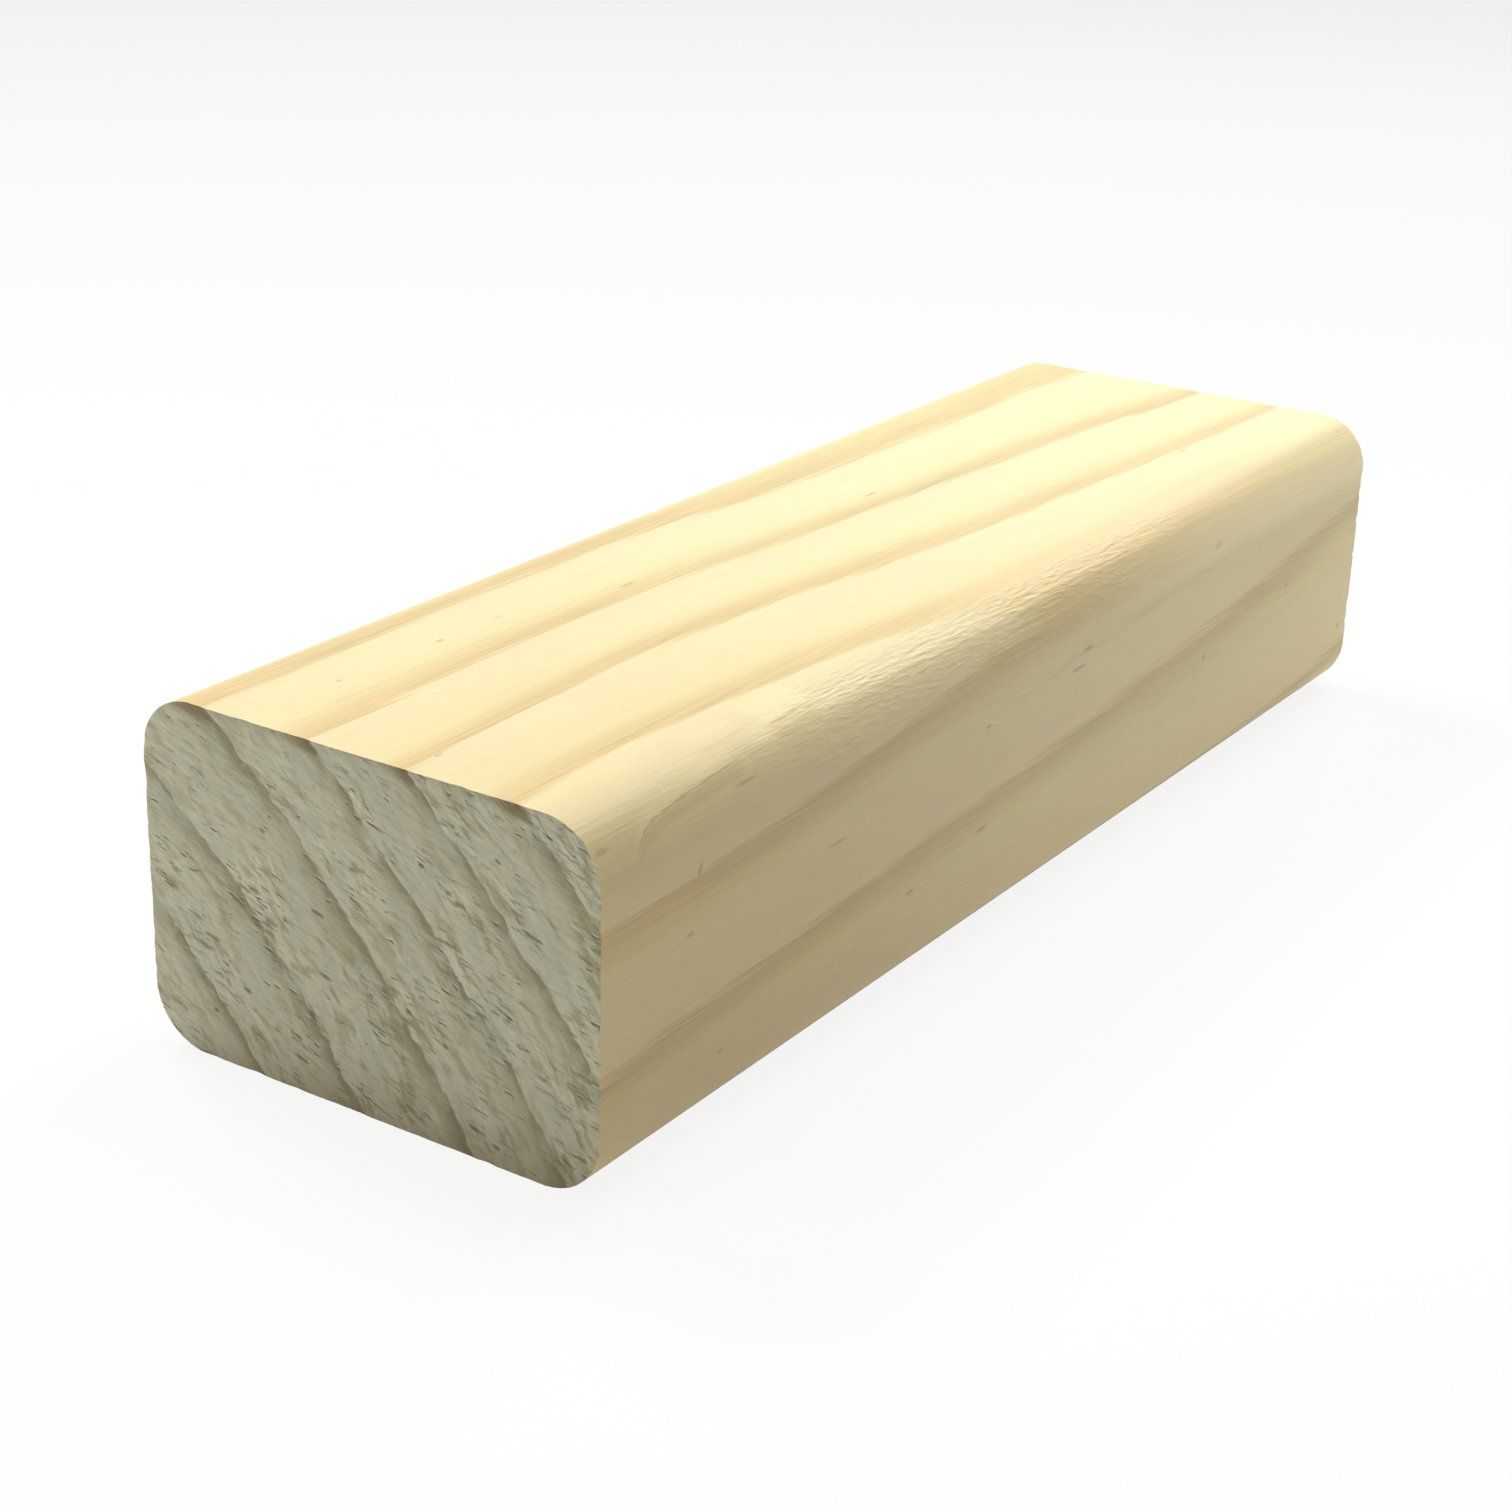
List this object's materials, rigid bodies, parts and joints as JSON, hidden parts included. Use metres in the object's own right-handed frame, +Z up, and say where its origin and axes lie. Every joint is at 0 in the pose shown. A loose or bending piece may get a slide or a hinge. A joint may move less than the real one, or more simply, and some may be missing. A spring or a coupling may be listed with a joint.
{
  "type": "handrail",
  "caption": "Short straight length of solid rectangular softwood handrail with rounded long edges and square sawn ends, to be cut and fixed along stairs.",
  "frame": {"origin": "centre of the flat underside, at mid length and mid width", "axes": "+X along the rail's length, away from the near sawn end; +Y across its width; +Z up through its thickness, the smallest dimension"},
  "size_m": [0.2, 0.065, 0.044],
  "materials": {
    "pine": "bare planed pine, matt, with rough sawn ends"
  },
  "bodies": {
    "root": {"handrail": "pine"}
  },
  "joints": []
}
